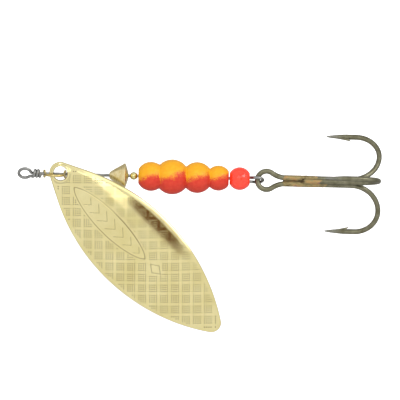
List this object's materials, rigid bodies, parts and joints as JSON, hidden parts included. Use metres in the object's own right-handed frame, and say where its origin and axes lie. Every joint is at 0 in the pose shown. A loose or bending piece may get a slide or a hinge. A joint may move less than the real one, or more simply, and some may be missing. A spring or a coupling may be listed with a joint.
{
  "type": "inline spinner fishing lure",
  "caption": "In-line spinner: wire shaft with line eye, revolving leaf blade on a stirrup clevis, bell, beads, painted weight and swinging treble hook.",
  "frame": {"origin": "centre of the line eye at the front end of the wire shaft", "axes": "+X along the shaft from the line eye to the hook, +Y across the lure, +Z out of the side that the blade lies on"},
  "size_m": [0.0961, 0.0532, 0.0233],
  "materials": {
    "shaft_steel": "drawn spring wire, satin",
    "clevis_brass": "satin",
    "blade_gold": "bright pale gold plate with a stamped dimple pattern",
    "bell_brass": "polished",
    "bead_brass": "polished",
    "weight_paint": "two-tone satin paint, yellow-orange above and red-orange below",
    "tail_bead_plastic": "fluorescent translucent",
    "hook_bronze": "bronzed high-carbon steel",
    "braze_copper": "mottled brazing metal"
  },
  "bodies": {
    "shaft": {"shaft_wire": "shaft_steel"},
    "clevis": {"clevis": "clevis_brass"},
    "blade": {"blade": "blade_gold"},
    "bell": {"bell": "bell_brass"},
    "spacer_bead": {"spacer_bead": "bead_brass"},
    "weight": {"body_weight": "weight_paint"},
    "tail_bead": {"tail_bead": "tail_bead_plastic"},
    "treble": {"double_hook": "hook_bronze", "single_hook": "hook_bronze", "braze": "braze_copper"}
  },
  "joints": [
    {"name": "clevis_spin", "type": "hinge", "parent": "shaft", "child": "clevis", "pos_m": [0.0078, 0, 0], "axis": [1, 0, 0], "continuous": true},
    {"name": "blade_tilt", "type": "hinge", "parent": "clevis", "child": "blade", "pos_m": [0.007, 0, 0.0017], "axis": [0, -0.9903, -0.1392], "range_deg": [0, 75]},
    {"name": "bell_spin", "type": "hinge", "parent": "shaft", "child": "bell", "pos_m": [0.0248, 0, 0], "axis": [1, 0, 0], "continuous": true},
    {"name": "spacer_bead_spin", "type": "hinge", "parent": "shaft", "child": "spacer_bead", "pos_m": [0.02875, 0, 0], "axis": [1, 0, 0], "continuous": true},
    {"name": "weight_spin", "type": "hinge", "parent": "shaft", "child": "weight", "pos_m": [0.0419, 0, 0], "axis": [1, 0, 0], "continuous": true},
    {"name": "tail_bead_spin", "type": "hinge", "parent": "shaft", "child": "tail_bead", "pos_m": [0.05672, 0, 0], "axis": [1, 0, 0], "continuous": true},
    {"name": "hook_swing", "type": "hinge", "parent": "shaft", "child": "treble", "pos_m": [0.0614, 0, 0], "axis": [0, 1, 0], "range_deg": [-110, 110]}
  ]
}
